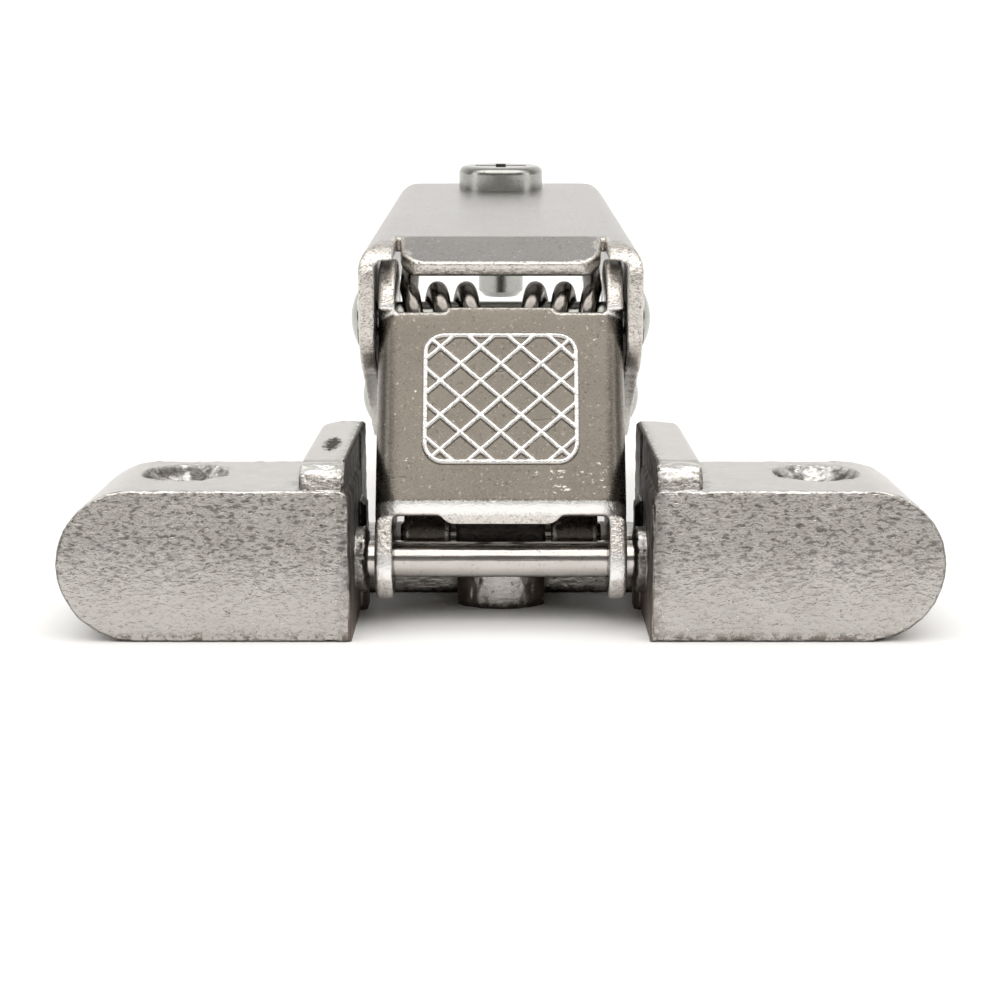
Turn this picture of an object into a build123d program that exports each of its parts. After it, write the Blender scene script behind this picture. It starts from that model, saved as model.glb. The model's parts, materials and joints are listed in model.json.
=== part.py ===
from build123d import *
import os
from math import asin, atan2, cos, degrees, hypot, radians, sin, tan

# A concealed cabinet hinge with a screw-on die-cast body, two folded links, a folded arm and a
# spring on the front arm rivet. X runs across the hinge, -Y towards the edge of the door and Z up
# from the door. The origin lies on the base, midway between the two lug screws.

# Die-cast body
body_width = 70.4
screw_spacing = 52.0
screw_hole_d = 4.6
countersink_d = 7.3
countersink_angle = 90.0
lug_height = 12.25
lug_front = 8.0
lug_back = 5.35
lug_edge_round = 0.3
throat_width = 23.8
throat_corner_round = 1.0
cheek_width = 3.6
cheek_height = 14.3
cheek_front_gap = 0.3
cheek_cove = 2.3
cheek_corner_round = 2.6
cheek_edge_round = 0.5
cheek_relief_gap = 0.5
cheek_guide_gap = 0.35
cheek_guide_start = 8.6
body_back = 14.5
bridge_front = 8.0
bridge_height = 5.0
boss_front = 2.3
boss_width = 7.4
boss_height = 6.8
boss_radius = 4.9
pad_height = 9.4
pad_front = 2.0
pad_proud = 0.6
pad_bevel = 0.45
pin_boss_d = 5.4
pin_boss_proud = 1.0
pin_boss_bevel = 0.3
bridge_edge_round = 0.5

# Pivots: the two pins in the body and, on the arm, the two rivets
front_pin_y = -1.5
front_pin_z = 5.3
front_pin_d = 3.0
rear_pin_y = 2.5
rear_pin_z = 6.5
rear_pin_d = 2.3
rear_pin_proud = 0.3
pin_depth = 4.5
pin_chamfer = 0.25
link_length = 21.15
link_lean = 63.3
arm_pitch = 2.6
rivet_pitch_along = 12.0
rivet_pitch_down = 8.95
rivet_d = 2.8
front_head_d = 4.8
rear_head_d = 4.3
head_height = 0.95
head_dome = 0.65

# Clearances
running_gap = 0.05
seat_gap = 0.02
link_side_gap = 1.65
nest_gap = 0.65
arm_side_gap = 0.2
open_pivot_gap = 1.2

# Outer link, a folded channel of sheet
link_sheet = 1.5
link_web_offset = 4.7
link_bend = 2.3
link_web_start = 2.7
link_web_stop = 20.0
link_tongue = 0.6
link_tongue_width = 9.8
link_tongue_bevel = 0.54
link_tab = 0.4
link_tab_width = 9.0
link_low_ear = 3.3
link_high_ear = 5.0

# Inner link, a strip rolled round the rear pin
strip_sheet = 1.15
strip_end_wall = 1.3
strip_ear_start = 8.5
strip_ear_rise = 0.8
strip_window_gap = 0.5
strip_window_end = 6.4
strip_window_round = 0.8
cam_width = 6.4
cam_gap = 0.1
cam_start = -150.0
cam_stop = 100.0

# Arm, a folded channel of sheet
arm_sheet = 1.35
arm_top = 6.8
arm_length = 60.0
arm_bend = 2.2
arm_wall_depth = 8.0
arm_ear_front = 5.3
arm_ear_below = 4.6
arm_ear_round = 3.4
arm_lobe = 3.9
arm_lobe_run = 14.0
arm_wall_setback = 2.5
arm_corner_round = 3.0
arm_bend_start = 1.2
lip_reach = 4.5
lip_droop = 24.0
lip_overlap = 0.6
lip_side_gap = 0.25
lip_notch = 0.4
lip_corner = 2.8
slot_length = 9.0
slot_width = 5.4
slot_end_gap = 7.5

# Double torsion spring on the front arm rivet
wire_d = 1.6
coil_gap = 0.12
coil_pitch = 2.45
coil_turns = 2
tail_lift = 15.0
leg_overhang = 1.2
coil_wall_gap = 0.25
cam_spring_gap = 0.3

# Fixing screw and its clamp nut
screw_d = 5.0
screw_head_d = 9.3
screw_head_height = 2.5
screw_head_round = 0.8
screw_length = 12.0
screw_point_bevel = 0.6
cross_length = 5.6
cross_width = 1.1
cross_depth = 1.6
nut_side = 11.0
nut_height = 2.8
nut_chamfer = 0.5

# Worked out from the sizes above
lug_depth = lug_front + lug_back
lug_radius = lug_height / 2
throat = throat_width / 2
link_half = throat - link_side_gap
link_inner = link_half - link_sheet
strip_half = link_inner - nest_gap
strip_inner = strip_half - strip_sheet
arm_inner = link_half + arm_side_gap
arm_half = arm_inner + arm_sheet
cheek_inner = arm_half + cheek_relief_gap
cheek_guide = arm_half + cheek_guide_gap
cheek_outer = cheek_inner + cheek_width
front_pin_r = front_pin_d / 2
rear_pin_r = rear_pin_d / 2
rivet_r = rivet_d / 2
eye_bore = rear_pin_r + running_gap
eye_r = eye_bore + strip_sheet
open_bore = rivet_r + open_pivot_gap
strip_end = open_bore + strip_end_wall
cam_inner = open_bore + cam_gap
cam_outer = cam_inner + strip_sheet
lip_half = link_inner - lip_side_gap
wire_r = wire_d / 2
coil_r = rivet_r + coil_gap + wire_r
slot_place = arm_length - slot_end_gap
arm_under = arm_top - arm_sheet

link_run = link_length * cos(radians(link_lean))
link_rise = link_length * sin(radians(link_lean))
front_rivet_y = front_pin_y + link_run
front_rivet_z = front_pin_z + link_rise

# Side frames: the first axis runs along the piece, the second to its outer side, the third is X
body_side = Plane.YZ
link_side = Plane(
    origin=(0, front_pin_y, front_pin_z),
    x_dir=(0, cos(radians(link_lean)), sin(radians(link_lean))),
    z_dir=(1, 0, 0),
)
arm_side = Plane(
    origin=(0, front_rivet_y, front_rivet_z),
    x_dir=(0, cos(radians(arm_pitch)), sin(radians(arm_pitch))),
    z_dir=(1, 0, 0),
)
rear_rivet = arm_side.from_local_coords(Vector(rivet_pitch_along, -rivet_pitch_down, 0))
strip_run = rear_rivet.Y - rear_pin_y
strip_rise = rear_rivet.Z - rear_pin_z
strip_length = hypot(strip_run, strip_rise)
strip_lean = degrees(atan2(strip_rise, strip_run))
strip_side = Plane(
    origin=(0, rear_pin_y, rear_pin_z),
    x_dir=(0, cos(radians(strip_lean)), sin(radians(strip_lean))),
    z_dir=(1, 0, 0),
)


def block(x0, x1, y0, y1, z0, z1):
    """A box given by its lowest and highest corners."""
    low = (Align.MIN, Align.MIN, Align.MIN)
    return Pos(x0, y0, z0) * Box(x1 - x0, y1 - y0, z1 - z0, align=low)


def panel(x0, x1, y0, y1):
    """A rectangle given by its lowest and highest corners."""
    return Pos(x0, y0) * Rectangle(x1 - x0, y1 - y0, align=(Align.MIN, Align.MIN))


def bar(radius, half_length, along=0.0, out=0.0):
    """A round bar across a side frame, centred on the middle plane."""
    return Pos(along, out, 0) * Cylinder(radius, 2 * half_length)


def both_sides(piece):
    """The piece and its mirror image across the middle plane of the hinge."""
    return piece + mirror(piece, about=Plane.YZ)


def across(sketch, inner, outer):
    """Two plates cut to one side outline, between two distances from the middle plane."""
    plate = extrude(Pos(0, 0, inner) * sketch, amount=outer - inner)
    return plate + mirror(plate, about=Plane.XY)


def channel(half, top, sheet, bend, start, stop, depth):
    """A folded channel of sheet in a side frame, open away from its web."""
    outer = panel(top - depth, top, -half, half)
    outer = fillet(outer.vertices().group_by(Axis.X)[-1], bend)
    inner = panel(top - depth - sheet, top - sheet, sheet - half, half - sheet)
    inner = fillet(inner.vertices().group_by(Axis.X)[-1], bend - sheet)
    section = Plane.YZ.offset(start) * (outer - inner)
    return extrude(section, amount=stop - start)


def lug():
    """One D-shaped lug with its countersunk screw hole, on the +X side."""
    outline = panel(throat, body_width / 2 - lug_radius, 0, lug_height)
    outline += Pos(body_width / 2 - lug_radius, lug_radius) * Circle(lug_radius)
    corner = outline.vertices().sort_by_distance((throat, lug_height, 0))[0]
    outline = fillet(corner, throat_corner_round)
    solid = extrude(Plane.XZ.offset(-lug_back) * outline, amount=lug_depth)
    faces = solid.faces().sort_by(Axis.Y)
    solid = fillet(faces[0].edges() + faces[-1].edges(), lug_edge_round)
    sink_depth = (countersink_d - screw_hole_d) / 2 / tan(radians(countersink_angle / 2))
    hole = Pos(screw_spacing / 2, 0, lug_height / 2) * Cylinder(screw_hole_d / 2, 2 * lug_height)
    sink = Cone(screw_hole_d / 2, countersink_d / 2, sink_depth)
    return solid - hole - Pos(screw_spacing / 2, 0, lug_height - sink_depth / 2) * sink


def cheek():
    """The raised side wall beside the arm, on the +X side, with its coved front."""
    front = cheek_front_gap - lug_front
    with BuildSketch(body_side) as outline:
        with BuildLine():
            Polyline((front + cheek_cove, cheek_height), (body_back, cheek_height), (body_back, 0))
            Polyline((body_back, 0), (front, 0), (front, cheek_height - cheek_cove))
            RadiusArc(
                (front, cheek_height - cheek_cove), (front + cheek_cove, cheek_height), cheek_cove
            )
        make_face()
    width = cheek_outer - cheek_guide
    solid = Pos(cheek_guide, 0, 0) * extrude(outline.sketch, amount=width)
    back_corner = solid.edges().filter_by(Axis.Z).sort_by_distance((cheek_outer, body_back, 0))[0]
    solid = fillet(back_corner, cheek_corner_round)
    crown = solid.faces().filter_by(Axis.Z).sort_by(Axis.Z)[-1]
    solid = fillet(crown.edges(), cheek_edge_round)
    relief = block(0, cheek_inner, -lug_front, cheek_guide_start, -1, cheek_height + 1)
    return solid - relief


def hinge_body():
    """The die-cast body: two lugs, two cheeks, a bridge behind and a boss under the rear pin."""
    bridge = block(-cheek_guide - 1, cheek_guide + 1, bridge_front, body_back, 0, bridge_height)
    front_edge = bridge.edges().filter_by(Axis.X).sort_by_distance((0, bridge_front, bridge_height))[0]
    bridge = fillet(front_edge, bridge_edge_round)
    plan = Pos(0, boss_front + boss_radius) * Circle(boss_radius)
    plan &= panel(-boss_width / 2, boss_width / 2, boss_front - 1, bridge_front + 1)
    boss = extrude(plan, amount=boss_height)
    boss = fillet(boss.faces().sort_by(Axis.Z)[-1].edges(), bridge_edge_round)
    knuckle = Pos(0, rear_pin_y, rear_pin_z) * Rot(0, 90, 0) * Cylinder(eye_r, boss_width)
    pad = block(throat - pad_proud, throat + 1, pad_front, lug_back - lug_edge_round, 0, pad_height)
    inner_face = pad.faces().sort_by(Axis.X)[0]
    pad = chamfer(inner_face.edges() - inner_face.edges().group_by(Axis.Z)[0], pad_bevel)
    solid = both_sides(lug() + cheek() + pad + pin_boss()) + bridge + boss + knuckle
    front_seat = Cylinder(front_pin_r + seat_gap, 2 * (throat + pin_depth))
    rear_seat = Cylinder(rear_pin_r + seat_gap, boss_width + 1)
    solid -= Pos(0, front_pin_y, front_pin_z) * Rot(0, 90, 0) * front_seat
    return solid - Pos(0, rear_pin_y, rear_pin_z) * Rot(0, 90, 0) * rear_seat


def pin_boss():
    """The round boss on the inner side of a lug that carries the end of the front pin."""
    inward = Plane(origin=(throat + 1, front_pin_y, front_pin_z), z_dir=(-1, 0, 0))
    solid = extrude(inward * Circle(pin_boss_d / 2), amount=pin_boss_proud + 1)
    rim = solid.edges().filter_by(GeomType.CIRCLE).sort_by(Axis.X)[0]
    return chamfer(rim, pin_boss_bevel)


def cup_pin(y, z, radius, half_length):
    """A plain pin across the body, with chamfered ends."""
    pin = Cylinder(radius, 2 * half_length)
    pin = chamfer(pin.edges().filter_by(GeomType.CIRCLE), pin_chamfer)
    return Pos(0, y, z) * Rot(0, 90, 0) * pin


def outer_link():
    """The wide link: a folded channel whose web faces the front, with round ears at both ends."""
    ear = make_hull(
        (Circle(link_low_ear) + Pos(link_length, 0) * Circle(link_high_ear)).edges()
    )
    bend_start = link_web_offset - link_bend
    ear -= panel(link_web_start, link_web_stop, bend_start, link_web_offset + 1)
    ears = across(ear, link_inner, link_half)
    depth = link_web_offset + link_low_ear
    web = channel(
        link_half, link_web_offset, link_sheet, link_bend, link_web_start, link_web_stop, depth
    )
    web &= block(link_web_start, link_web_stop, bend_start, link_web_offset, -throat, throat)
    half_tongue = link_tongue_width / 2
    tongue = panel(link_web_start - link_tongue, link_web_start + 1, -half_tongue, half_tongue)
    tongue = chamfer(tongue.vertices().group_by(Axis.X)[0], link_tongue_bevel)
    half_tab = link_tab_width / 2
    tab = panel(link_web_stop - 1, link_web_stop + link_tab, -half_tab, half_tab)
    web_plane = Plane((0, link_web_offset - link_sheet, 0), x_dir=(1, 0, 0), z_dir=(0, 1, 0))
    ends = extrude(web_plane * (tongue + tab), amount=link_sheet)
    solid = ears + web + ends
    solid -= bar(front_pin_r + running_gap, throat)
    solid -= bar(rivet_r + running_gap, throat, along=link_length)
    return link_side.location * solid


def inner_link():
    """The narrow link: a strip rolled round the rear pin, with two ears and a curled cam."""
    strip_low = -eye_r
    strip_high = strip_low + strip_sheet
    strip = panel(0, strip_length - cam_inner, strip_low, strip_high) + Circle(eye_r)
    solid = extrude(strip, amount=strip_half, both=True)
    half_window = boss_width / 2 + strip_window_gap
    window = panel(-eye_r - 1, strip_window_end, -half_window, half_window)
    window = fillet(window.vertices().group_by(Axis.X)[-1], strip_window_round)
    flat = Plane((0, 0, 0), x_dir=(1, 0, 0), z_dir=(0, 1, 0))
    solid -= extrude(flat * window, amount=2 * eye_r, both=True)
    ear = make_hull(
        (
            panel(strip_ear_start, strip_length / 2, strip_low, strip_ear_rise)
            + Pos(strip_length, 0) * Circle(strip_end)
        ).edges()
    )
    ears = across(ear, strip_inner, strip_half)
    solid += ears
    solid += Pos(strip_length, 0, 0) * cam()
    solid -= bar(eye_bore, throat)
    solid -= bar(open_bore, throat, along=strip_length)
    return strip_side.location * solid


def cam():
    """The curled end of the strip round the rear rivet, on which the spring bears."""
    ring = Circle(cam_outer) - Circle(cam_inner)
    span = cam_stop - cam_start
    reach = 3 * cam_outer
    steps = [cam_start + span * i / 4 for i in range(5)]
    rim = [(reach * cos(radians(a)), reach * sin(radians(a))) for a in steps]
    sector = make_face(Polyline((0, 0), *rim, close=True))
    return extrude(ring & sector, amount=cam_width / 2, both=True)


def arm():
    """The arm: a folded channel with two front ears, a drooping lip and a slot for its screw."""
    low = arm_top - arm_wall_depth
    ear = panel(-arm_ear_front, rivet_pitch_along, -arm_ear_below, arm_top)
    front_corners = ear.vertices().group_by(Axis.X)[0].sort_by(Axis.Y)
    ear = fillet(front_corners[0], arm_ear_below)
    ear = fillet(ear.vertices().sort_by_distance((-arm_ear_front, arm_top, 0))[0], arm_ear_round)
    lobe = make_hull(
        (
            Circle(arm_ear_below)
            + Pos(rivet_pitch_along, -rivet_pitch_down) * Circle(arm_lobe)
            + panel(rivet_pitch_along, rivet_pitch_along + arm_lobe_run, low, arm_top)
        ).edges()
    )
    rail = panel(rivet_pitch_along, arm_length - arm_wall_setback, low, arm_top)
    rail_end = rail.vertices().sort_by_distance((arm_length - arm_wall_setback, low, 0))[0]
    rail = fillet(rail_end, arm_corner_round)
    outline = ear + lobe + rail
    below_bend = panel(-arm_ear_front, arm_length, -rivet_pitch_down - arm_lobe, arm_top - arm_bend)
    walls = across(outline & below_bend, arm_inner, arm_half)
    roof = channel(arm_half, arm_top, arm_sheet, arm_bend, -arm_ear_front, arm_length, arm_bend)
    plan = panel(-arm_ear_front, arm_length, -arm_half, arm_half)
    plan = fillet(plan.vertices().group_by(Axis.X)[-1], arm_corner_round)
    half_mouth = lip_half + lip_notch
    plan -= panel(-arm_ear_front, arm_bend_start, -half_mouth, half_mouth)
    level = Plane((0, arm_under - arm_wall_depth, 0), x_dir=(1, 0, 0), z_dir=(0, 1, 0))
    roof &= extrude(level * plan, amount=2 * arm_wall_depth)
    side = outline + panel(rivet_pitch_along, arm_length, arm_top - arm_bend, arm_top)
    roof &= extrude(side, amount=arm_half, both=True)
    solid = walls + roof + lip()
    slot = Pos(slot_place, 0) * SlotOverall(slot_length, slot_width)
    solid -= extrude(level * slot, amount=2 * arm_wall_depth)
    solid -= bar(rivet_r + seat_gap, arm_half + 1)
    solid -= bar(rivet_r + seat_gap, arm_half + 1, rivet_pitch_along, -rivet_pitch_down)
    return arm_side.location * solid


def lip():
    """The front of the arm's top, bent down a little, with rounded corners."""
    droop = radians(lip_droop)
    drop = lip_reach * sin(droop)
    reach = lip_reach * cos(droop)
    root = arm_bend_start
    side = make_face(
        Polyline(
            (root + lip_overlap, arm_top),
            (root, arm_top),
            (root - reach, arm_top - drop),
            (root - reach + arm_sheet * sin(droop), arm_top - drop - arm_sheet * cos(droop)),
            (root, arm_under),
            (root + lip_overlap, arm_under),
            close=True,
        )
    )
    solid = extrude(side, amount=lip_half, both=True)
    nose = panel(root - reach, root + 1, -lip_half, lip_half)
    nose = fillet(nose.vertices().group_by(Axis.X)[0], lip_corner)
    level = Plane((0, 0, 0), x_dir=(1, 0, 0), z_dir=(0, 1, 0))
    return solid & extrude(level * nose, amount=2 * arm_top)


def arm_rivet(along, out, head_d):
    """A rivet across the arm with a low domed head outside each wall."""
    rivet = Cylinder(rivet_r, 2 * arm_half)
    head = Cylinder(head_d / 2, head_height, align=(Align.CENTER, Align.CENTER, Align.MIN))
    dome_r = ((head_d / 2) ** 2 + head_dome**2) / (2 * head_dome)
    head &= Pos(0, 0, head_height - dome_r) * Sphere(dome_r)
    head = Pos(0, 0, arm_half) * head
    rivet += head + mirror(head, about=Plane.XY)
    return arm_side.location * Pos(along, out, 0) * rivet


def rod(start, stop, radius):
    """A round rod between two points."""
    line = Vector(*stop) - Vector(*start)
    section = Plane(origin=start, z_dir=line) * Circle(radius)
    return extrude(section, amount=line.length)


def spring():
    """The double torsion spring: two mirrored coils, two tails and one looped leg between them."""
    tail_angle = 90 + tail_lift
    leg_angle = 270 - leg_tilt()
    turns = coil_turns + (leg_angle - tail_angle) / 360
    helix = mirror(Helix(coil_pitch, coil_pitch * turns, coil_r), about=Plane.XY)
    helix = Pos(0, 0, link_inner - wire_r - coil_wall_gap) * Rot(0, 0, tail_angle) * helix
    coil = sweep(Plane(origin=helix @ 0, z_dir=helix % 0) * Circle(wire_r), path=helix, is_frenet=True)
    # Each straight end starts along the coil and then turns to lie square to the rivet
    tail_root = (helix @ 0) - (helix % 0) * wire_r
    leg_root = (helix @ 1) + (helix % 1) * wire_r
    rise = arm_under - wire_r - running_gap - tail_root.Y
    tail_tip = tail_root + Vector(rise / tan(radians(tail_lift)), rise, 0)
    leg_run = rivet_pitch_along + leg_overhang - leg_root.X
    leg_tip = leg_root + Vector(leg_run, -leg_run * tan(radians(leg_tilt())), 0)
    half = coil + rod(tail_root, helix @ 0, wire_r) + rod(helix @ 1, leg_root, wire_r)
    half += Pos(*tail_root) * Sphere(wire_r) + Pos(*leg_root) * Sphere(wire_r)
    half += rod(tail_tip, tail_root, wire_r) + rod(leg_root, leg_tip, wire_r)
    # A half ring joins the two legs over the cam
    middle = Vector(leg_tip.X, leg_tip.Y, 0)
    ring = Solid.make_torus(leg_tip.Z, wire_r, Plane(origin=middle, z_dir=leg_normal()))
    front = Plane(origin=middle, x_dir=(0, 0, 1), z_dir=leg_line())
    keep = extrude(front * Rectangle(6 * leg_tip.Z, 6 * leg_tip.Z), amount=3 * leg_tip.Z)
    solid = half + mirror(half, about=Plane.XY) + (ring & keep)
    return arm_side.location * solid


def leg_line():
    """The direction of the spring's leg in the arm's side frame."""
    return Vector(cos(radians(leg_tilt())), -sin(radians(leg_tilt())), 0)


def leg_normal():
    """The direction square to the spring's leg, away from the rear rivet."""
    return Vector(sin(radians(leg_tilt())), cos(radians(leg_tilt())), 0)


def leg_tilt():
    """How far the leg tilts down, so that its line just clears the cam round the rear rivet."""
    reach = hypot(rivet_pitch_along, rivet_pitch_down)
    lean = atan2(rivet_pitch_down, rivet_pitch_along)
    wanted = coil_r + cam_outer + wire_r + cam_spring_gap
    return degrees(lean - asin(wanted / reach))


def fixing_screw():
    """The fixing screw: a low round head with a cross recess on a plain shank."""
    head = Cylinder(screw_head_d / 2, screw_head_height, align=(Align.CENTER, Align.CENTER, Align.MIN))
    head = fillet(head.edges().group_by(Axis.Z)[-1], screw_head_round)
    shank = Pos(0, 0, -screw_length) * Cylinder(
        screw_d / 2, screw_length, align=(Align.CENTER, Align.CENTER, Align.MIN)
    )
    shank = chamfer(shank.edges().group_by(Axis.Z)[0], screw_point_bevel)
    screw = head + shank
    recess = Box(cross_length, cross_width, 2 * cross_depth)
    for turn in (0, 90):
        screw -= Pos(0, 0, screw_head_height) * Rot(0, 0, turn) * recess
    upright = Plane(origin=(slot_place, arm_top, 0), x_dir=(1, 0, 0), z_dir=(0, 1, 0))
    return arm_side.location * upright.location * screw


def clamp_nut():
    """The square nut under the arm's top that the fixing screw draws up."""
    nut = Box(nut_side, nut_side, nut_height, align=(Align.CENTER, Align.CENTER, Align.MAX))
    nut = chamfer(nut.edges().filter_by(Axis.Z), nut_chamfer)
    nut -= Cylinder(screw_d / 2 + seat_gap, 4 * nut_height)
    upright = Plane(origin=(slot_place, arm_under, 0), x_dir=(1, 0, 0), z_dir=(0, 1, 0))
    return arm_side.location * upright.location * nut


parts = {
    "hinge_body": hinge_body(),
    "front_cup_pin": cup_pin(front_pin_y, front_pin_z, front_pin_r, throat + pin_depth - seat_gap),
    "rear_cup_pin": cup_pin(rear_pin_y, rear_pin_z, rear_pin_r, strip_half + rear_pin_proud),
    "outer_link": outer_link(),
    "inner_link": inner_link(),
    "arm": arm(),
    "front_arm_rivet": arm_rivet(0, 0, front_head_d),
    "rear_arm_rivet": arm_rivet(rivet_pitch_along, -rivet_pitch_down, rear_head_d),
    "spring": spring(),
    "fixing_screw": fixing_screw(),
    "clamp_nut": clamp_nut(),
}
os.makedirs("parts", exist_ok=True)
for name, solid in parts.items():
    export_step(solid, f"parts/{name}.step")
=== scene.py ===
"""A concealed hinge on a plain pale floor, seen from the front and a little above."""

import json
from math import atan2, cos, hypot, pi, radians, sin, tan

import bmesh
import bpy
from mathutils import Matrix, Vector, noise
from mathutils.bvhtree import BVHTree


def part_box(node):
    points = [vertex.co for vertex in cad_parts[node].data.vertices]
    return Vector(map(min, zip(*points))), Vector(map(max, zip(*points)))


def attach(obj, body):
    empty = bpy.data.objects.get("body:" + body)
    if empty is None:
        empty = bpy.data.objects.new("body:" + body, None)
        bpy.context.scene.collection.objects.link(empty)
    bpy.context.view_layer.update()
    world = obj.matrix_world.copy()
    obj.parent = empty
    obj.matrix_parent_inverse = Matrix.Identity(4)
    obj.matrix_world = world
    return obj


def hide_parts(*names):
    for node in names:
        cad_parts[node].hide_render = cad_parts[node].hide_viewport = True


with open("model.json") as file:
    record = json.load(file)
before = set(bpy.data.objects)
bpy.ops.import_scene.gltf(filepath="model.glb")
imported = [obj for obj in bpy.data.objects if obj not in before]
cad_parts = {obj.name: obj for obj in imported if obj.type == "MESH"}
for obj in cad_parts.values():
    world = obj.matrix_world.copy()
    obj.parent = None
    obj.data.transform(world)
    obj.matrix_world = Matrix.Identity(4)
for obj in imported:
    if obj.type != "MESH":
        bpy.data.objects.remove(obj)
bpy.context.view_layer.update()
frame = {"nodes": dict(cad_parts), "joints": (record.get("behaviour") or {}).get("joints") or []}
MM = 0.001
joints = {joint["name"]: joint for joint in frame["joints"]}
front_pin = Vector(joints["front_pivot"]["pos_m"])
front_rivet = Vector(joints["arm_pivot"]["pos_m"])
low_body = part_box("hinge_body")[0]

# Camera: a pinhole fitted to the photo, square frame
FOCAL_PX = 1850
PICTURE_PX = 1000
SENSOR = 36.0
CAMERA_PLACE = (0.0, -149.97 * MM, 40.45 * MM)
CAMERA_PITCH = 11.5
CENTRE_PX = 500.8

# The room's light by height, the sine of the elevation: in front and behind
FRONT_ROOM = [(0.0, 0.45), (0.15, 0.32), (0.26, 0.16), (0.50, 0.20), (0.60, 2.2), (1.0, 1.5)]
BACK_ROOM = [(0.0, 0.50), (0.30, 0.40), (0.60, 0.32), (1.0, 0.60)]
ROOM_GREEN = 0.975
ROOM_BLUE = 0.945
ROOM_BLEND = 0.15

# The folded sheets, in metres and radians
LINK_SHEET = 1.5 * MM
ARM_SHEET = 1.35 * MM
STRIP_SHEET = 1.15 * MM
ARM_TILT = radians(2.6)
STRIP_TILT = radians(27.5)

# The wide link's web: its outer face above the pivots' plane, and the sloped edge at its foot
LINK_WEB = 4.7 * MM
LINK_HALF = 10.25 * MM
LINK_BEND = 2.3 * MM
WEB_FOOT = 2.1 * MM
COIN_WIDTH = 1.4 * MM
COIN_ANGLE = radians(37)
TORN_WIDTH = 0.65 * MM
TORN_ANGLE = radians(48)

# Where the casting's relief and marks begin and are full, as distances on it
RELIEF_HEIGHT = (2.5 * MM, 9.0 * MM)
CHIPPED_HEIGHT = (1.1 * MM, 0.2 * MM)
INNER_SIDE = (13.3 * MM, 12.5 * MM)
RIM_OUTER = (13.4 * MM, 12.1 * MM)
RIM_INNER = (10.8 * MM, 11.6 * MM)
SCREW_PLACE = 26.0 * MM
COUNTERSINK = (3.75 * MM, 3.40 * MM)
STAIN_X = -14.06 * MM
STAIN_Y = 1.96 * MM
STAIN_STRETCH = 0.2
STAIN_RADIUS = (0.75 * MM, 0.45 * MM)
STAIN_HEIGHT = (13.5 * MM, 14.0 * MM)
POCKET_SIDE = (9.8 * MM, 9.2 * MM)
POCKET_FRONT = (-1.0 * MM, 0.5 * MM)
POCKET_HEIGHT = (4.0 * MM, 5.0 * MM)
FOOT_HEIGHT = (1.5 * MM, 6.0 * MM)

# The scuffed patch low on the web
SCUFF_X = 5.6 * MM
SCUFF_Z = 12.5 * MM
SCUFF_RADIUS = (2.6 * MM, 0.3 * MM)

# The panel on the web, in millimetres
PANEL_HALF = (6.6, 5.85)
PANEL_MARGIN = 0.3
PANEL_CORNER = 2.0
PANEL_LINE = 0.42
PANEL_PLACE = 12.4
PANEL_GRID = 0.08
PANEL_PROUD = 0.004
PANEL_DEPTH = 0.3
LATTICE_PITCH = 3.3
LATTICE_SLOPE = 1.12
LATTICE_ACROSS = 0.67
LINE_HEIGHT = 0.13

# Working distances and angles of the meshes
WELD = 0.2e-6
TOUCH = 1e-7
FLAT_ANGLE = radians(0.6)
CORNER_ANGLE = radians(34)
SHEET_SLACK = 0.12 * MM
CAST_PITCH = 0.5 * MM

# Colours
NICKEL_LIGHT = (0.57, 0.55, 0.525)
NICKEL_DARK = (0.45, 0.43, 0.40)
NICKEL_TOP = (0.33, 0.325, 0.315)
NICKEL_SPECK = (0.30, 0.26, 0.22)
NICKEL_SHADE = (0.22, 0.205, 0.185)
NICKEL_HOLLOW_SHADE = (0.10, 0.09, 0.078)
NICKEL_CHIP = (0.11, 0.085, 0.065)
EDGE_SHADE = (0.10, 0.088, 0.075)
EDGE_HIGHLIGHT = (0.86, 0.85, 0.82)
SHADE_AND_GRIME = (0.045, 0.038, 0.032)
FOOT_SHADE_AND_GRIME = (0.17, 0.13, 0.11)
SCUFFED = (0.62, 0.58, 0.53)
TORN_DARK = (0.60, 0.555, 0.51)
TORN_LIGHT = (0.82, 0.80, 0.76)
TORN_PEPPER = (0.13, 0.105, 0.09)
STAMPED_LINE = (0.86, 0.84, 0.81)
ROLLED_REFLECTION = (0.92, 0.91, 0.89)
# The wide link's nickel, darkened as painted shade
WEB_DARK = (0.142, 0.127, 0.108)
WEB_LIGHT = (0.208, 0.188, 0.163)


def make_camera():
    """The camera at the photo's angle."""
    data = bpy.data.cameras.new("camera")
    data.sensor_width = SENSOR
    data.sensor_fit = "HORIZONTAL"
    data.lens = FOCAL_PX / PICTURE_PX * SENSOR
    data.shift_x = -(CENTRE_PX - PICTURE_PX / 2) / PICTURE_PX
    data.clip_start = 0.01
    camera = bpy.data.objects.new("camera", data)
    bpy.context.collection.objects.link(camera)
    camera.location = CAMERA_PLACE
    camera.rotation_euler = (radians(90 - CAMERA_PITCH), 0, 0)
    bpy.context.scene.camera = camera


def area_light(name, place, aim, size, power, glossy=True):
    """A white rectangular lamp that the camera doesn't see."""
    data = bpy.data.lights.new(name, "AREA")
    data.shape = "RECTANGLE"
    data.size, data.size_y = size
    data.energy = power
    light = bpy.data.objects.new(name, data)
    bpy.context.collection.objects.link(light)
    light.location = place
    light.rotation_euler = (Vector(aim) - Vector(place)).to_track_quat("-Z", "Y").to_euler()
    light.visible_camera = False
    light.visible_glossy = glossy


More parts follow.
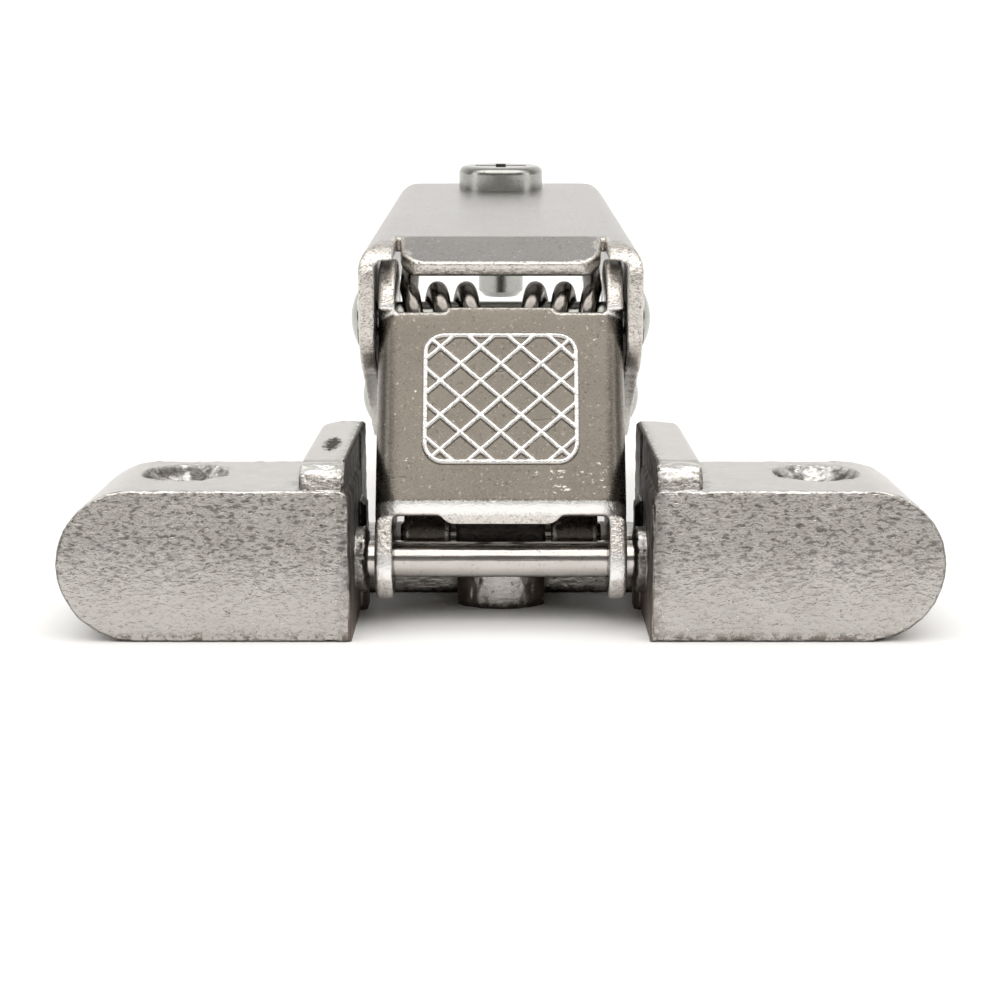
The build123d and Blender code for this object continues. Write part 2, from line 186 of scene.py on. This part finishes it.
def make_room():
    """The room as bands of light by height, with one set of bands in front and one behind."""
    world = bpy.data.worlds.new("studio")
    bpy.context.scene.world = world
    world.use_nodes = True
    tree = world.node_tree
    direction = tree.nodes.new("ShaderNodeTexCoord")
    split = tree.nodes.new("ShaderNodeSeparateXYZ")
    tree.links.new(direction.outputs["Generated"], split.inputs["Vector"])
    halves = []
    for room in (FRONT_ROOM, BACK_ROOM):
        ramp = tree.nodes.new("ShaderNodeValToRGB")
        tree.links.new(split.outputs["Z"], ramp.inputs["Fac"])
        elements = ramp.color_ramp.elements
        elements[0].position, elements[1].position = room[0][0], room[-1][0]
        for place, _ in room[1:-1]:
            elements.new(place)
        for element, (_, value) in zip(elements, room):
            element.color = (value, value * ROOM_GREEN, value * ROOM_BLUE, 1)
        halves.append(ramp.outputs["Color"])
    behind = tree.nodes.new("ShaderNodeMapRange")
    tree.links.new(split.outputs["Y"], behind.inputs["Value"])
    behind.inputs["From Min"].default_value = -ROOM_BLEND
    behind.inputs["From Max"].default_value = ROOM_BLEND
    mixed = tree.nodes.new("ShaderNodeMix")
    mixed.data_type = "RGBA"
    tree.links.new(behind.outputs["Result"], mixed.inputs[0])
    tree.links.new(halves[0], mixed.inputs[6])
    tree.links.new(halves[1], mixed.inputs[7])
    tree.links.new(mixed.outputs[2], tree.nodes["Background"].inputs["Color"])


def make_lights():
    """A soft box above the front, a card on each side and a wash on the backdrop."""
    area_light("soft_box", (0, -0.17, 0.7), aim=(0, -0.17, 0), size=(1.1, 0.50), power=1.5)
    for name, side in (("left_card", -1), ("right_card", 1)):
        place = (side * 0.75, -0.12, 0.20)
        area_light(name, place, aim=(0, 0, 0.01), size=(0.25, 0.45), power=0.55)
    area_light(
        "backdrop_wash", (0, 0.2, 1.1), aim=(0, 0.75, 0.1), size=(1.6, 0.5), power=4.2, glossy=False,
    )


def make_stage():
    """A pale floor that curves up into a backdrop."""
    half_width, front, back, height, bend = 2.0, -2.0, 0.9, 1.6, 0.5
    steps = 12
    profile = [(front, 0.0), (back - bend, 0.0)]
    for step in range(1, steps + 1):
        angle = radians(90) * step / steps
        profile.append((back - bend + bend * sin(angle), bend - bend * cos(angle)))
    profile.append((back, height))
    mesh = bpy.data.meshes.new("backdrop")
    vertices = [(x, y, z) for y, z in profile for x in (-half_width, half_width)]
    faces = [(2 * i, 2 * i + 1, 2 * i + 3, 2 * i + 2) for i in range(len(profile) - 1)]
    mesh.from_pydata(vertices, [], faces)
    mesh.shade_smooth()
    floor = bpy.data.objects.new("backdrop", mesh)
    bpy.context.collection.objects.link(floor)
    material = bpy.data.materials.new("pale_floor")
    material.use_nodes = True
    shader = material.node_tree.nodes["Principled BSDF"]
    shader.inputs["Base Color"].default_value = (0.86, 0.86, 0.86, 1)
    shader.inputs["Roughness"].default_value = 0.9
    shader.inputs["Specular IOR Level"].default_value = 0.1
    mesh.materials.append(material)


class Nodes:
    """A short way to write a material's node tree. Coordinates are the object's own, in metres."""

    def __init__(self, name):
        self.material = bpy.data.materials.new(name)
        self.material.use_nodes = True
        self.tree = self.material.node_tree
        self.shader = self.tree.nodes["Principled BSDF"]
        coordinates = self.tree.nodes.new("ShaderNodeTexCoord")
        self.place = coordinates.outputs["Object"]
        self.normal = coordinates.outputs["Normal"]

    def fill(self, socket, value):
        """Gives a socket a number, a colour or another node's output."""
        if isinstance(value, (int, float)):
            socket.default_value = value
        elif isinstance(value, tuple):
            socket.default_value = (*value, 1) if socket.type == "RGBA" and len(value) == 3 else value
        else:
            self.tree.links.new(value, socket)

    def set(self, name, value):
        """Fills an input of the material's shader."""
        self.fill(self.shader.inputs[name], value)

    def mapped(self, scale=(1, 1, 1), turn=(0, 0, 0), shift=(0, 0, 0)):
        """The place on the object, stretched, turned and shifted."""
        node = self.tree.nodes.new("ShaderNodeMapping")
        self.fill(node.inputs["Vector"], self.place)
        node.inputs["Scale"].default_value = scale
        node.inputs["Rotation"].default_value = turn
        node.inputs["Location"].default_value = shift
        return node.outputs["Vector"]

    def split(self, vector):
        """A vector's three parts."""
        node = self.tree.nodes.new("ShaderNodeSeparateXYZ")
        self.fill(node.inputs["Vector"], vector)
        return node.outputs

    def attribute(self, name):
        """A value that the mesh carries at its points."""
        node = self.tree.nodes.new("ShaderNodeAttribute")
        node.attribute_name = name
        return node.outputs["Fac"]

    def noise(self, scale, detail, roughness, vector=None, distortion=0.0):
        """Cloudy noise from 0 to 1, with so many cycles to the metre."""
        node = self.tree.nodes.new("ShaderNodeTexNoise")
        self.fill(node.inputs["Vector"], vector or self.place)
        node.inputs["Scale"].default_value = scale
        node.inputs["Detail"].default_value = detail
        node.inputs["Roughness"].default_value = roughness
        node.inputs["Distortion"].default_value = distortion
        return node.outputs["Fac"]

    def ramp(self, value, stops):
        """A value passed through (place, grey) stops."""
        node = self.tree.nodes.new("ShaderNodeValToRGB")
        elements = node.color_ramp.elements
        elements[0].position, elements[1].position = stops[0][0], stops[-1][0]
        for place, _ in stops[1:-1]:
            elements.new(place)
        for element, (_, grey) in zip(elements, stops):
            element.color = (grey, grey, grey, 1)
        self.fill(node.inputs["Fac"], value)
        return node.outputs["Color"]

    def between(self, value, low, high):
        """A smooth step from 0 at low to 1 at high, either way round."""
        node = self.tree.nodes.new("ShaderNodeMapRange")
        node.interpolation_type = "SMOOTHSTEP"
        self.fill(node.inputs["Value"], value)
        node.inputs["From Min"].default_value = low
        node.inputs["From Max"].default_value = high
        return node.outputs["Result"]

    def math(self, operation, a, b=0.0):
        """One sum of two values."""
        node = self.tree.nodes.new("ShaderNodeMath")
        node.operation = operation
        self.fill(node.inputs[0], a)
        self.fill(node.inputs[1], b)
        return node.outputs[0]

    def plus(self, a, b):
        """a + b"""
        return self.math("ADD", a, b)

    def minus(self, a, b):
        """a - b"""
        return self.math("SUBTRACT", a, b)

    def times(self, first, *others):
        """The product of all the values."""
        for value in others:
            first = self.math("MULTIPLY", first, value)
        return first

    def most(self, first, *others):
        """The largest of the values."""
        for value in others:
            first = self.math("MAXIMUM", first, value)
        return first

    def swing(self, value, span):
        """A value from 0 to 1, laid evenly about 0 over a span."""
        return self.times(self.minus(value, 0.5), span)

    def length(self, a, b):
        """How long a flat vector is."""
        return self.math("SQRT", self.plus(self.math("POWER", a, 2.0), self.math("POWER", b, 2.0)))

    def mix(self, factor, a, b):
        """A colour between a, where the factor is 0, and b, where it is 1."""
        node = self.tree.nodes.new("ShaderNodeMix")
        node.data_type = "RGBA"
        self.fill(node.inputs[0], factor)
        self.fill(node.inputs[6], a)
        self.fill(node.inputs[7], b)
        return node.outputs[2]

    def bump(self, height, distance, strength, under=None):
        """A height turned into relief, on top of other relief if any is given."""
        node = self.tree.nodes.new("ShaderNodeBump")
        self.fill(node.inputs["Strength"], strength)
        node.inputs["Distance"].default_value = distance
        self.fill(node.inputs["Height"], height)
        if under is not None:
            self.fill(node.inputs["Normal"], under)
        return node.outputs["Normal"]


def scaled(colour, share):
    """A darker or lighter colour."""
    return tuple(part * share for part in colour)


def cast_shade_and_grime(m, across, y, z, sideways):
    """Painted shade on the casting, and one real stain, from 0 to 1 at each place on it."""
    # Painted shade in the corners and creases
    patches = m.ramp(m.noise(1500, 4, 0.7), [(0.3, 0.4), (0.6, 1.0)])
    crevice = m.times(m.attribute("crevice"), patches)
    # Painted shade on the inner sides by the links, and on the rim in front of them
    inner = m.times(m.between(across, *INNER_SIDE), sideways, 0.97)
    patches = m.noise(1300, 5, 0.7, m.mapped(shift=(0.5, 0.2, 0.3)))
    patches = m.ramp(patches, [(0.42, 0.0), (0.55, 1.0)])
    rim = m.times(m.between(across, *RIM_OUTER), m.between(across, *RIM_INNER), 0.55, patches)
    streaks = m.ramp(m.noise(900, 5, 0.7, m.mapped((1, 1, 0.45))), [(0.35, 0.7), (0.6, 1.0)])
    inner = m.times(m.most(inner, rim), streaks)
    # Painted shade in the countersinks
    sink = m.between(m.length(m.minus(across, SCREW_PLACE), y), *COUNTERSINK)
    sink = m.times(sink, m.ramp(m.noise(520, 4, 0.65), [(0.42, 1.0), (0.56, 0.25)]), 0.8)
    # A small stain on one cheek, longer than it is wide
    stain_x, stain_y, _ = m.split(m.mapped(shift=(-STAIN_X, -STAIN_Y, 0)))
    reach = m.length(stain_x, m.times(stain_y, STAIN_STRETCH))
    reach = m.plus(reach, m.swing(m.noise(2600, 3, 0.6), 1.6 * MM))
    stain = m.times(m.between(reach, *STAIN_RADIUS), m.between(z, *STAIN_HEIGHT))
    # Painted shade in the pocket behind the links
    pocket = m.times(m.between(across, *POCKET_SIDE), m.between(y, *POCKET_FRONT))
    pocket = m.times(pocket, m.between(z, *POCKET_HEIGHT), 0.9)
    return m.most(crevice, inner, sink, stain, pocket)


def cast_nickel():
    """Nickel over a rough casting: wavy relief, smoother tops, painted shade in the corners."""
    m = Nodes("cast_nickel")
    x, y, z = m.split(m.place)
    nx, ny, nz = m.split(m.normal)
    across = m.math("ABSOLUTE", x)
    turned = m.math("ABSOLUTE", ny)
    facing_up = m.between(nz, 0.6, 0.95)
    facing_front = m.between(ny, -0.6, -0.95)
    sideways = m.between(m.math("ABSOLUTE", nx), 0.3, 0.8)
    high = m.between(z, *RELIEF_HEIGHT)
    grain = m.noise(7000, 3, 0.6)
    flow = m.mapped((0.8, 1.0, 1.15), (0, radians(24), 0))
    cells = m.noise(2100, 3, 0.5, m.mapped((0.8, 1.0, 1.7), (0, radians(14), 0)), 0.5)

    # The metal: broad tones, darker on upward faces, with specks, and painted shade higher up the
    # front and in the relief's hollows
    colour = m.mix(m.noise(240, 3, 0.5), NICKEL_DARK, NICKEL_LIGHT)
    colour = m.mix(m.times(facing_up, 0.35), colour, NICKEL_TOP)
    specks = m.ramp(m.noise(3800, 4, 0.7), [(0.33, 0.75), (0.42, 0.0)])
    specks = m.times(specks, m.minus(1.0, m.times(facing_up, 0.8)))
    colour = m.mix(specks, colour, NICKEL_SPECK)
    shade = m.plus(high, m.swing(m.noise(700, 5, 0.7, flow), 1.4))
    shade = m.times(m.between(shade, 0.45, 1.05), facing_front)
    colour = m.mix(m.times(shade, 0.3), colour, NICKEL_SHADE)
    hollow_shade = m.times(m.between(cells, 0.50, 0.36), facing_front)
    hollow_shade = m.times(hollow_shade, m.plus(0.12, m.times(high, 0.6)))
    colour = m.mix(hollow_shade, colour, NICKEL_HOLLOW_SHADE)
    chips = m.times(m.between(z, *CHIPPED_HEIGHT), m.between(m.noise(1400, 5, 0.75), 0.46, 0.56))
    colour = m.mix(m.times(chips, 0.8), colour, NICKEL_CHIP)

    # The edge fillets: a painted highlight along the upward ones, and painted shade round the ends
    # and the foot
    fillet = m.times(m.between(turned, 0.15, 0.35), m.between(turned, 0.97, 0.88))
    upward = m.plus(nz, m.swing(m.noise(1500, 4, 0.7), 0.9))
    shaded_fillet = m.times(fillet, m.between(upward, 0.55, 0.2))
    colour = m.mix(m.times(shaded_fillet, 0.75), colour, EDGE_SHADE)
    bright_edge = m.times(fillet, m.between(upward, 0.45, 0.8))
    colour = m.mix(bright_edge, colour, EDGE_HIGHLIGHT)

    shade_and_dirt = cast_shade_and_grime(m, across, y, z, sideways)
    # The painted shade and the stain share one near-black colour, browner and lighter towards the
    # foot
    shade_and_grime = m.mix(m.between(z, *FOOT_HEIGHT), FOOT_SHADE_AND_GRIME, SHADE_AND_GRIME)
    m.set("Base Color", m.mix(shade_and_dirt, colour, shade_and_grime))
    m.set("Metallic", 1.0)
    rough = m.mix(facing_up, m.ramp(grain, [(0.3, 0.17), (0.7, 0.29)]), (0.22, 0.22, 0.22))
    m.set("Roughness", m.mix(shade_and_dirt, rough, (0.6, 0.6, 0.6)))

    # The relief: waves, cells, pits and grain, calmer on the tops and near the foot
    calm = m.minus(1.0, m.times(facing_up, 0.82))
    force = m.times(calm, m.plus(0.28, m.times(high, 0.72)))
    relief = m.bump(m.noise(980, 4, 0.6, flow, 0.6), 0.22 * MM, force)
    relief = m.bump(cells, 0.17 * MM, force, relief)
    pits = m.noise(1700, 2, 0.5, m.mapped(shift=(0.3, 0.1, 0.2)))
    pits = m.ramp(pits, [(0.30, 1.0), (0.36, 0.0)])
    relief = m.bump(pits, -0.04 * MM, calm, relief)
    m.set("Normal", m.bump(grain, 0.02 * MM, 0.6, relief))
    return m.material


def scuffs(m):
    """The fine bright nicks of the web, closest together in its scuffed patch."""
    x, _, z = m.split(m.place)
    away = m.length(m.times(m.minus(x, SCUFF_X), 0.45), m.minus(z, SCUFF_Z))
    nicks = m.noise(2600, 3, 0.75, m.mapped((0.5, 1.0, 1.0), (0, radians(-40), 0)))
    nicks = m.plus(nicks, m.times(m.between(away, *SCUFF_RADIUS), 0.11))
    return m.between(nicks, 0.68, 0.74)


def folded_sheet(name, dark, light, roughness, scratch=0.5, stamped=False, roll=None):
    """Plated sheet with bright torn edges. A web with a roll direction is scuffed, with a painted
    reflection along its rolled end, and a stamped one has bright lines."""
    m = Nodes(name)
    grain = m.noise(5200, 4, 0.65)
    torn = m.noise(2400, 4, 0.7)

    # The metal: blotches, dark and bright specks, and painted shade in the crevices
    colour = m.mix(m.noise(230, 5, 0.6), dark, light)
    specks = m.ramp(m.noise(3300, 4, 0.75), [(0.34, 0.7), (0.42, 0.0)])
    colour = m.mix(specks, colour, scaled(dark, 0.45))
    sparks = m.noise(2900, 3, 0.7, m.mapped(shift=(0.2, 0.4, 0.1)))
    sparks = m.ramp(sparks, [(0.62, 0.0), (0.70, 0.8)])
    colour = m.mix(sparks, colour, tuple(min(0.8, part) for part in scaled(light, 1.8)))
    patches = m.ramp(m.noise(1200, 4, 0.7), [(0.3, 0.15), (0.6, 0.45)])
    colour = m.mix(m.times(m.attribute("crevice"), patches), colour, SHADE_AND_GRIME)
    if roll is not None:
        colour = m.mix(scuffs(m), colour, SCUFFED)

    # The edges: torn and speckled where sheared, with a painted reflection where rolled over
    pepper = m.times(m.ramp(m.noise(4200, 4, 0.8), [(0.38, 1.0), (0.47, 0.0)]), 0.7)
    bare = m.mix(pepper, m.mix(torn, TORN_DARK, TORN_LIGHT), TORN_PEPPER)
    edge = m.plus(m.attribute("edge"), m.swing(m.noise(1800, 3, 0.6), 0.5))
    edge = m.between(edge, 0.25, 0.6)
    colour = m.mix(edge, colour, bare)
    if stamped:
        edge = m.times(m.between(m.attribute("proud"), 0.25, 0.8), 0.9)
        colour = m.mix(edge, colour, STAMPED_LINE)
    if roll is not None:
        _, ny, nz = m.split(m.normal)
        turned = m.plus(m.times(ny, -roll.y), m.times(nz, -roll.z))
        turned = m.plus(turned, m.swing(grain, 0.25))
        rolled_reflection = m.times(m.between(turned, 0.05, 0.22), m.between(turned, 0.74, 0.66))
        colour = m.mix(rolled_reflection, colour, ROLLED_REFLECTION)
    m.set("Base Color", colour)
    m.set("Metallic", 1.0)
    rough = m.ramp(grain, [(0.3, roughness - 0.05), (0.7, roughness + 0.1)])
    m.set("Roughness", m.mix(edge, rough, (0.25, 0.25, 0.25)))

    # The relief: soft waves, scratches, the torn edges and grain
    lines = m.noise(1500, 2, 0.5, m.mapped((0.12, 1.0, 1.0), (0, radians(35), 0)))
    lines = m.ramp(lines, [(0.70, 0.0), (0.73, 1.0)])
    relief = m.bump(m.noise(900, 4, 0.6), 0.05 * MM, 0.35)
    relief = m.bump(lines, -0.02 * MM, scratch, relief)
    relief = m.bump(torn, 0.13 * MM, m.times(edge, 0.75), relief)
    m.set("Normal", m.bump(grain, 0.016 * MM, 0.6, relief))
    return m.material


def turned_metal(name, dark, light, roughness, stretch=(1, 1, 1)):
    """A drawn or turned steel surface with fine lines and light wear."""
    m = Nodes(name)
    lines = m.noise(4200, 3, 0.6, m.mapped(stretch))
    colour = m.mix(m.noise(420, 4, 0.6), dark, light)
    specks = m.ramp(m.noise(3600, 3, 0.7), [(0.33, 0.6), (0.40, 0.0)])
    m.set("Base Color", m.mix(specks, colour, scaled(dark, 0.4)))
    m.set("Metallic", 1.0)
    m.set("Roughness", m.ramp(lines, [(0.3, roughness - 0.04), (0.7, roughness + 0.06)]))
    m.set("Normal", m.bump(lines, 0.012 * MM, 0.6))
    return m.material


def node_bmesh(name):
    """A copy of a CAD node's mesh with its seams welded and its flat faces made whole."""
    bm = bmesh.new()
    bm.from_mesh(frame["nodes"][name].data)
    bmesh.ops.remove_doubles(bm, verts=bm.verts, dist=WELD)
    bmesh.ops.dissolve_limit(bm, angle_limit=FLAT_ANGLE, verts=bm.verts, edges=bm.edges)
    return bm


def sliced(bm, pitch):
    """Cuts a mesh along a cubic grid, so that every face has points to move."""
    corners = [v.co for v in bm.verts]
    for axis in range(3):
        low = min(c[axis] for c in corners)
        high = max(c[axis] for c in corners)
        count = int((high - low) / pitch)
        normal = Vector([1.0 if i == axis else 0.0 for i in range(3)])
        for step in range(1, count + 1):
            place = Vector()
            place[axis] = low + (high - low) * step / (count + 1)
            geometry = bm.verts[:] + bm.edges[:] + bm.faces[:]
            bmesh.ops.bisect_plane(bm, geom=geometry, plane_co=place, plane_no=normal, dist=TOUCH)


def cut_faces(bm, sheet):
    """The faces that don't have their back one sheet thickness behind them: the sheared edges."""
    tree = BVHTree.FromBMesh(bm)
    cut = []
    for face in bm.faces:
        start = face.calc_center_median_weighted()
        inward = -face.normal
        hit = tree.ray_cast(start + inward * 0.01 * MM, inward)
        thick = hit[3] if hit[0] is not None else 1.0
        if abs(thick - sheet) > SHEET_SLACK:
            cut.append(face)
    return cut


def coined(bm, foot, face, half_width, bend):
    """Slopes the outer edge along the web's foot in the link's own frame. Returns the torn points."""
    tree = BVHTree.FromBMesh(bm)
    torn = set()
    for vertex in bm.verts:
        x, y, z = vertex.co
        if not (foot - 0.1 * MM < y < foot + COIN_WIDTH and z > face - bend):
            continue
        # How deep the point lies under the outer face, also round the side bends
        side = max(0.0, abs(x) - (half_width - bend))
        outward, depth = Vector((0, 0, 1)), face - z
        if side > 0.0:
            arm = Vector((side if x > 0 else -side, 0, z - (face - bend)))
            outward, depth = arm.normalized(), bend - arm.length
        # The ears reach past the web's own edge and stay as they are
        across = min(abs(x), half_width - bend)
        start = Vector((across if x > 0 else -across, 0, face - 0.45 * LINK_SHEET))
        hit = tree.ray_cast(start, Vector((0, 1, 0)))
        if hit[0] is None or y < hit[0].y - 0.03 * MM:
            continue
        left = y - foot
        needed = (COIN_WIDTH - max(left, TORN_WIDTH)) * tan(COIN_ANGLE)
        needed += max(0.0, TORN_WIDTH - left) * tan(TORN_ANGLE)
        needed *= max(0.0, outward.z) ** 0.5
        if left < TORN_WIDTH or (side > 0.3 * MM and left < 1.6 * TORN_WIDTH):
            torn.add(vertex)
        if depth < needed:
            vertex.co -= outward * (needed - max(depth, 0.0))
    return torn


def grown(points, rings):
    """A set of vertices with its neighbours, ring by ring."""
    for _ in range(rings):
        points = points | {e.other_vert(v) for v in points for e in v.link_edges}
    return points


def settle(bm, points, rounds):
    """Rounds a finely cut mesh by moving points towards their neighbours."""
    points = list(points)
    for _ in range(rounds):
        bmesh.ops.smooth_vert(
            bm, verts=points, factor=0.5, use_axis_x=True, use_axis_y=True, use_axis_z=True,
        )


def crevices(bm, rays, reach):
    """How closed in each vertex is, from 0 in the open to 1 deep in a corner."""
    tree = BVHTree.FromBMesh(bm)
    golden = pi * (3 - 5 ** 0.5)
    spread = []
    for i in range(rays):
        height = 1 - (i + 0.5) / rays
        ring = (1 - height * height) ** 0.5
        spread.append(Vector((ring * cos(golden * i), ring * sin(golden * i), height)))
    closed = []
    for vertex in bm.verts:
        turn = vertex.normal.to_track_quat("Z", "Y")
        start = vertex.co + vertex.normal * 0.03 * MM
        hits = 0
        for ray in spread:
            hits += tree.ray_cast(start, turn @ ray, reach)[0] is not None
        closed.append(max(0.0, hits / rays - 0.30) / 0.55)
    return closed


def make_piece(name, bm, node, body, material, sharp):
    """A finished piece that moves with its body, and stands for a CAD node if one is given."""
    mesh = bpy.data.meshes.new(name)
    bmesh.ops.triangulate(bm, faces=[f for f in bm.faces if len(f.verts) > 4])
    bm.to_mesh(mesh)
    bm.free()
    mesh.materials.append(material)
    mesh.shade_smooth()
    mesh.set_sharp_from_angle(angle=radians(sharp))
    piece = bpy.data.objects.new(name, mesh)
    bpy.context.collection.objects.link(piece)
    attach(piece, body)
    if node:
        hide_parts(node)
    return piece


def mark(piece, name, marks):
    """Lets a mesh carry one value at each of its points, for its material."""
    layer = piece.data.attributes.new(name, "FLOAT", "POINT")
    layer.data.foreach_set("value", marks)


def cast_body():
    """The casting with uneven faces, nicked edges and its crevices marked."""
    bm = node_bmesh("hinge_body")
    sliced(bm, CAST_PITCH)
    bm.normal_update()
    for vertex in bm.verts:
        p = vertex.co / MM
        n = vertex.normal
        lumps = noise.noise(p * 0.55) * 0.020 + noise.noise(p * 1.7 + Vector((7, 3, 1))) * 0.010
        nick = 0.0
        on_edge = 0.12 < abs(n.y) < 0.97 and hypot(n.x, n.z) > 0.2
        if on_edge:
            nick = noise.noise(p * 1.15 + Vector((2, 9, 4))) * 0.07
            nick += min(0.0, noise.noise(p * 2.3 + Vector((5, 1, 8))) + 0.18) * 0.22
        vertex.co += n * (lumps + nick) * MM
        vertex.co.z = max(vertex.co.z, low_body.z)
    bm.normal_update()
    marks = crevices(bm, 14, 3.2 * MM)
    piece = make_piece("cast_body", bm, "hinge_body", "casting", cast_nickel(), 50.0)
    mark(piece, "crevice", marks)


def sheet_piece(name, sheet, tilt, pitch, rounds, material, dents=0.0, coin=None):
    """A folded sheet piece with its sheared edges rounded and marked, and one edge coined. It is
    cut and settled in its own upright frame, a tilt away from the hinge's."""
    bm = node_bmesh(name)
    level = Matrix.Rotation(-tilt, 4, "X")
    bmesh.ops.transform(bm, matrix=level, verts=bm.verts)
    sliced(bm, pitch)
    bmesh.ops.remove_doubles(bm, verts=bm.verts, dist=pitch * 0.22)
    bmesh.ops.dissolve_degenerate(bm, dist=TOUCH, edges=bm.edges)
    torn = coined(bm, *coin) if coin else set()
    corners = {v for e in bm.edges if e.calc_face_angle(0.0) > CORNER_ANGLE for v in e.verts}
    edges = corners | {v for face in cut_faces(bm, sheet) for v in face.verts} | torn
    ring = grown(edges, 1) - edges
    settle(bm, grown(corners, 2), rounds)
    bm.normal_update()
    for vertex in bm.verts:
        p = vertex.co / MM
        vertex.co += vertex.normal * (noise.noise(p * 0.35) + 0.4 * noise.noise(p * 1.3)) * dents * MM
    bmesh.ops.transform(bm, matrix=level.inverted(), verts=bm.verts)
    bm.normal_update()
    marks = crevices(bm, 10, 2.4 * MM)
    bright_edge = [1.0 if v in edges else 0.45 if v in ring else 0.0 for v in bm.verts]
    piece = make_piece(name + "_plated", bm, name, name, material, 50.0)
    mark(piece, "crevice", marks)
    mark(piece, "edge", bright_edge)


def panel_height(u, v):
    """Height of the stamped lines at a point of the web, in millimetres."""
    qx = abs(u) - PANEL_HALF[0] + PANEL_CORNER
    qy = abs(v) - PANEL_HALF[1] + PANEL_CORNER
    rim = hypot(max(qx, 0), max(qy, 0)) + min(max(qx, qy), 0) - PANEL_CORNER
    gaps = [abs(rim + PANEL_LINE)]
    if rim < -PANEL_LINE:
        for line in (u + v * LATTICE_SLOPE, u - v * LATTICE_SLOPE):
            along = (line / LATTICE_PITCH) % 1.0
            gaps.append(min(along, 1 - along) * LATTICE_PITCH * LATTICE_ACROSS)
    near = min(gaps) / (PANEL_LINE / 2)
    return LINE_HEIGHT * (1 - near * near) ** 0.7 if near < 1 else 0.0


def web_panel(lean, material):
    """A plain lattice in a rounded frame, proud of the web, on a plate let into it."""
    outward = Vector((0, -lean.z, lean.y))
    bm = bmesh.new()
    reach_u, reach_v = PANEL_HALF[0] + PANEL_MARGIN, PANEL_HALF[1] + PANEL_MARGIN
    columns, rows = int(2 * reach_u / PANEL_GRID), int(2 * reach_v / PANEL_GRID)
    proud = bm.verts.layers.float.new("proud")
    base = front_pin + lean * PANEL_PLACE * MM + outward * (LINK_WEB + PANEL_PROUD * MM)
    grid = []
    for row in range(rows + 1):
        v = -reach_v + 2 * reach_v * row / rows
        line = []
        for column in range(columns + 1):
            u = -reach_u + 2 * reach_u * column / columns
            rise = panel_height(u, v)
            ragged = 1 + 0.25 * noise.noise(Vector((u * 2.1, v * 2.1, 3)))
            place = base + Vector((u * MM, 0, 0)) + lean * v * MM + outward * rise * ragged * MM
            vertex = bm.verts.new(place)
            vertex[proud] = rise / LINE_HEIGHT
            line.append(vertex)
        grid.append(line)
    for near_row, far_row in zip(grid, grid[1:]):
        for i in range(columns):
            bm.faces.new((near_row[i], near_row[i + 1], far_row[i + 1], far_row[i]))
    # The plate's sides and back
    border = grid[0] + [line[-1] for line in grid[1:]]
    border += grid[-1][-2::-1] + [line[0] for line in grid[-2:0:-1]]
    under = [bm.verts.new(v.co - outward * PANEL_DEPTH * MM) for v in border]
    for i in range(len(border)):
        j = (i + 1) % len(border)
        bm.faces.new((border[j], border[i], under[i], under[j]))
    bm.faces.new(under[::-1])
    bmesh.ops.recalc_face_normals(bm, faces=bm.faces)
    make_piece("web_panel", bm, None, "outer_link", material, 60.0)


make_camera()
make_stage()
make_room()
make_lights()

# The wide link's own frame: the direction from the pin to the rivet, and the pin's place in it
lean = front_rivet - front_pin
link_tilt = atan2(lean.z, lean.y)
lean.normalize()
pin_along = front_pin.y * cos(link_tilt) + front_pin.z * sin(link_tilt)
pin_above = front_pin.z * cos(link_tilt) - front_pin.y * sin(link_tilt)
web_coin = (pin_along + WEB_FOOT, pin_above + LINK_WEB, LINK_HALF, LINK_BEND)

web = folded_sheet("web_sheet", WEB_DARK, WEB_LIGHT, 0.24, roll=lean)
satin = folded_sheet("arm_sheet", (0.405, 0.395, 0.385), (0.485, 0.475, 0.465), 0.30, 0.2)
# The inner strip's nickel, darkened nearly to black as painted shade
strip = folded_sheet("strip_sheet", (0.13, 0.115, 0.10), (0.19, 0.17, 0.15), 0.28)

cast_body()
sheet_piece("outer_link", LINK_SHEET, link_tilt, 0.27 * MM, 7, web, dents=0.012, coin=web_coin)
sheet_piece("inner_link", STRIP_SHEET, STRIP_TILT, 0.36 * MM, 3, strip)
sheet_piece("arm", ARM_SHEET, ARM_TILT, 0.4 * MM, 3, satin, dents=0.008)
web_panel(lean, folded_sheet("web_lines", WEB_DARK, WEB_LIGHT, 0.24, stamped=True))

pin = turned_metal("bright_pin", (0.52, 0.485, 0.455), (0.64, 0.61, 0.58), 0.12, (0.08, 1, 1))
rivet = turned_metal("rivet_steel", (0.30, 0.31, 0.285), (0.42, 0.43, 0.40), 0.2)
wire = turned_metal("spring_wire", (0.20, 0.185, 0.17), (0.32, 0.30, 0.28), 0.16)
screw = turned_metal("screw_steel", (0.33, 0.33, 0.31), (0.45, 0.45, 0.43), 0.22)
nut = turned_metal("nut_steel", (0.07, 0.062, 0.055), (0.11, 0.10, 0.09), 0.4)
finishes = {
    "front_cup_pin": pin,
    "rear_cup_pin": pin,
    "front_arm_rivet": rivet,
    "rear_arm_rivet": rivet,
    "spring": wire,
    "fixing_screw": screw,
    "clamp_nut": nut,
}
for name, finish in finishes.items():
    data = frame["nodes"][name].data
    data.materials.clear()
    data.materials.append(finish)

bpy.context.scene.view_settings.view_transform = "Standard"
